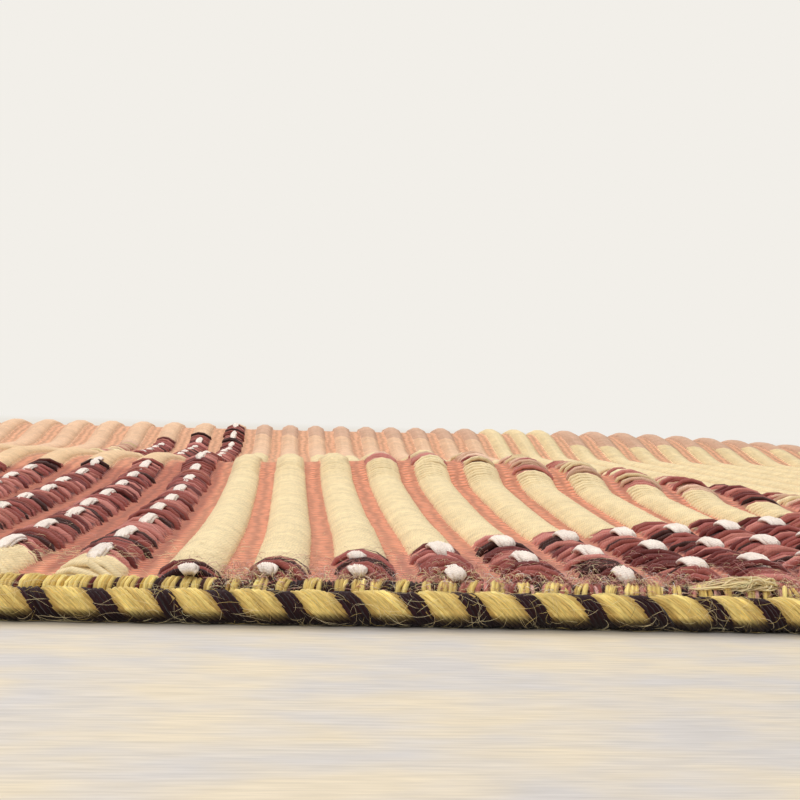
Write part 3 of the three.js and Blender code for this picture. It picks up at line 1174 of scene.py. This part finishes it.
RIB_FIBRE_STARTS = (9.0, 14.0)  # distances from the front
RIB_FIBRE_FADE = 11.0  # how much further back they start on average


def rib_fibres(name, count):
    """Hairs over the front of the ribs and the rolled edge."""
    x = hair_starts(RIB_HAIRS, count)
    front = draw.uniform(*RIB_FIBRE_STARTS, (count, 1)) + draw.exponential(RIB_FIBRE_FADE, (count, 1))
    along, across = hair_runs(RIB_HAIRS, count, SHORT_HAIR)
    front = np.clip(front + across, *RIB_SURFACE["reach"])
    height = surface_height(RIB_SURFACE, front) + hair_stand(RIB_HAIRS, count, SHORT_HAIR)
    x = within_ends(x + along)
    yarns = pick(RIB_HAIRS["yarns"], count)
    for index, (at, there) in enumerate(zip(x[:, 0], front[:, 0])):
        rib = min(RIBS, key=lambda one: abs(one["x"] - at))
        if zone(rib, there) in PLAIN_ZONES:
            yarns[index] = "cream"
    return hair_piece(name, RIB_HAIRS, placed(x, front, height), "field_wool", yarns)


FUZZ_START = -60.0  # X from which the rolled edge is fuzzy
CLUMP_PITCH = 7.0
CLUMP_SHIFT = 2.2  # how uneven that is
CLUMP_HAIRS = 98
CLUMP_FRONT = 11.4  # middle of a clump, from the front
CLUMP_SPREAD = (2.4, 1.8)  # of where its hairs start, along the edge and away from it


def edge_fuzz():
    """Clumps of short curly fibres where the ribs' yarns come out at the rolled edge."""
    centres = np.arange(FUZZ_START, RUG_LENGTH / 2 - FUZZ_HAIRS["inset"], CLUMP_PITCH)
    centres = centres + draw.normal(0, CLUMP_SHIFT, len(centres))
    centres = np.repeat(centres, CLUMP_HAIRS)[:, None]
    each = centres.shape
    along, across = hair_runs(FUZZ_HAIRS, len(centres), SHORT_HAIR)
    front = CLUMP_FRONT + draw.normal(0, CLUMP_SPREAD[1], each) + across
    front = np.clip(front, *ROLL_SURFACE["reach"])
    height = surface_height(ROLL_SURFACE, front) + hair_stand(FUZZ_HAIRS, len(centres), SHORT_HAIR)
    x = within_ends(centres + draw.normal(0, CLUMP_SPREAD[0], each) + along)
    return hair_piece("edge_fuzz", FUZZ_HAIRS, placed(x, front, height), "field_wool")


# ---------------------------------------------------------------- the rug

ground = woven_ground()
ribs = [
    ribs_piece("narrow_ribs_left", band=0),
    ribs_piece("wide_ribs_left", band=1),
    ribs_piece("narrow_ribs_right", band=2),
    ribs_piece("wide_ribs_right", band=3),
]
bound_cord("bound_cord_front", "selvedge_cord_front", back=False)
bound_cord("bound_cord_back", "selvedge_cord_back", back=True)
whips = [whipped_edge("whipped_edge_front", back=False), whipped_edge("whipped_edge_back", back=True)]
loose_knots = knots()
frayed_tuft()
cord_fibres("cord_fibres_front", count=2400, back=False)
cord_fibres("cord_fibres_back", count=600, back=True)
rib_fibres("rib_fibres", count=3300)
edge_fuzz()

# ---------------------------------------------------------------- floor, light and camera

# In metres
FLOOR_SIZE = 8.0
FLOOR_GAP = 0.0002  # under the rug
FADE_START = 0.55  # the floor turns into the backdrop between these distances from the middle
FADE_END = 1.4
FLOOR_COOL = linear("cec8c3")
FLOOR_WARM = linear("dfd1b9")
BACKDROP = linear("f2efe9")


def shown_rays(tree, at):
    """1 for camera, glossy and transmission rays."""
    rays = node(tree, "ShaderNodeLightPath", at)
    first = node(tree, "ShaderNodeMath", (at[0] + 200, at[1]), operation="MAXIMUM")
    both = node(tree, "ShaderNodeMath", (at[0] + 400, at[1]), operation="MAXIMUM")
    tree.links.new(rays.outputs["Is Camera Ray"], first.inputs[0])
    tree.links.new(rays.outputs["Is Glossy Ray"], first.inputs[1])
    tree.links.new(first.outputs[0], both.inputs[0])
    tree.links.new(rays.outputs["Is Transmission Ray"], both.inputs[1])
    return both.outputs[0]


def floor_material():
    """A pale floor with faint streaks, which turns into the backdrop's colour far from the rug."""
    material, tree, shader = new_material("studio floor", {"Roughness": 0.7, "Specular IOR Level": 0.2})
    where = node(tree, "ShaderNodeTexCoord", (-1300, 0)).outputs["Object"]
    patches = drawn_out_noise(tree, where, (-1100, 350), scale=(28, 60, 1), detail=3.0)
    share_of = node(tree, "ShaderNodeMapRange", (-700, 350), {"From Min": 0.38, "From Max": 0.62})
    two_tones = {"A": (*FLOOR_COOL, 1), "B": (*FLOOR_WARM, 1)}
    tinted = node(tree, "ShaderNodeMix", (-450, 350), two_tones, data_type="RGBA")
    streaks = drawn_out_noise(tree, where, (-1100, 100), scale=(90, 1300, 1), detail=4.0)
    faint = {"From Min": 0.3, "From Max": 0.7, "To Min": 0.9, "To Max": 1.1}
    light = node(tree, "ShaderNodeMapRange", (-700, 100), faint)
    streaked = node(tree, "ShaderNodeVectorMath", (-250, 200), operation="SCALE")
    distance = node(tree, "ShaderNodeVectorMath", (-1100, -200), operation="LENGTH")
    fade = {"From Min": FADE_START, "From Max": FADE_END}
    far = node(tree, "ShaderNodeMapRange", (-900, -200), fade, interpolation_type="SMOOTHSTEP")
    share = node(tree, "ShaderNodeMath", (-200, -200), operation="MULTIPLY")
    backdrop = node(tree, "ShaderNodeEmission", (0, -200), {"Color": (*BACKDROP, 1)})
    mix = node(tree, "ShaderNodeMixShader", (250, 0))
    link = tree.links.new
    link(patches, share_of.inputs["Value"])
    link(share_of.outputs["Result"], tinted.inputs["Factor"])
    link(streaks, light.inputs["Value"])
    link(tinted.outputs["Result"], streaked.inputs[0])
    link(light.outputs["Result"], streaked.inputs["Scale"])
    link(streaked.outputs["Vector"], shader.inputs["Base Color"])
    link(where, distance.inputs[0])
    link(distance.outputs["Value"], far.inputs["Value"])
    link(far.outputs["Result"], share.inputs[0])
    link(shown_rays(tree, (-900, -500)), share.inputs[1])
    link(share.outputs[0], mix.inputs[0])
    link(shader.outputs[0], mix.inputs[1])
    link(backdrop.outputs[0], mix.inputs[2])
    link(mix.outputs[0], tree.nodes["Material Output"].inputs["Surface"])
    return material


def studio():
    """The floor, and a world that lights evenly but shows as the backdrop."""
    bpy.ops.object.select_all(action="DESELECT")
    bpy.ops.mesh.primitive_plane_add(size=FLOOR_SIZE, location=(0, 0, -FLOOR_GAP))
    floor = bpy.context.object
    floor.name = "studio_floor"
    floor.data.materials.append(floor_material())

    world = bpy.data.worlds.new("studio")
    bpy.context.scene.world = world
    world.use_nodes = True
    tree = world.node_tree
    ambient = tree.nodes["Background"]
    ambient.inputs["Color"].default_value = (1.0, 0.98, 0.95, 1)
    ambient.inputs["Strength"].default_value = 0.45
    backdrop = node(tree, "ShaderNodeBackground", (-100, 200), {"Color": (*BACKDROP, 1)})
    mix = node(tree, "ShaderNodeMixShader", (150, 100))
    link = tree.links.new
    link(shown_rays(tree, (-700, 400)), mix.inputs[0])
    link(ambient.outputs[0], mix.inputs[1])
    link(backdrop.outputs[0], mix.inputs[2])
    link(mix.outputs[0], tree.nodes["World Output"].inputs["Surface"])


LAMPS = (
    {"name": "overhead", "at": (-0.3, 0.5, 1.3), "aim": (0, 0, 0), "size": 1.6, "watts": 17.0},
    {"name": "front fill", "at": (-0.4, -1.1, 0.8), "aim": (-0.1, -0.3, 0), "size": 0.8, "watts": 5.2},
)


def lamps():
    for lamp in LAMPS:
        data = bpy.data.lights.new(lamp["name"], "AREA")
        data.size = lamp["size"]
        data.energy = lamp["watts"]
        made = bpy.data.objects.new(lamp["name"], data)
        made.location = lamp["at"]
        facing = Vector(lamp["aim"]) - Vector(lamp["at"])
        made.rotation_euler = facing.to_track_quat("-Z", "Y").to_euler()
        bpy.context.scene.collection.objects.link(made)


CAMERA_X = -45.8
CAMERA_BACK = 222.0  # from the front edge
CAMERA_HEIGHT = 46.0
CAMERA_YAW = 5.65  # to the right, in degrees
CAMERA_ROLL = 2.1


def front_camera():
    """A camera near the floor, in front of the edge."""
    data = bpy.data.cameras.new("camera")
    data.lens = 50.0
    data.sensor_width = 36.0
    data.clip_start = 0.01
    camera = bpy.data.objects.new("camera", data)
    camera.location = (CAMERA_X * MM, -(RUG_WIDTH / 2 + CAMERA_BACK) * MM, CAMERA_HEIGHT * MM)
    camera.rotation_mode = "XYZ"
    turn = Matrix.Rotation(math.radians(-CAMERA_YAW), 4, "Z") @ Matrix.Rotation(math.radians(90), 4, "X")
    turn = turn @ Matrix.Rotation(math.radians(CAMERA_ROLL), 4, "Z")
    camera.rotation_euler = turn.to_euler("XYZ")
    bpy.context.scene.collection.objects.link(camera)
    bpy.context.scene.camera = camera


studio()
lamps()
front_camera()
bpy.context.scene.view_settings.view_transform = "Standard"
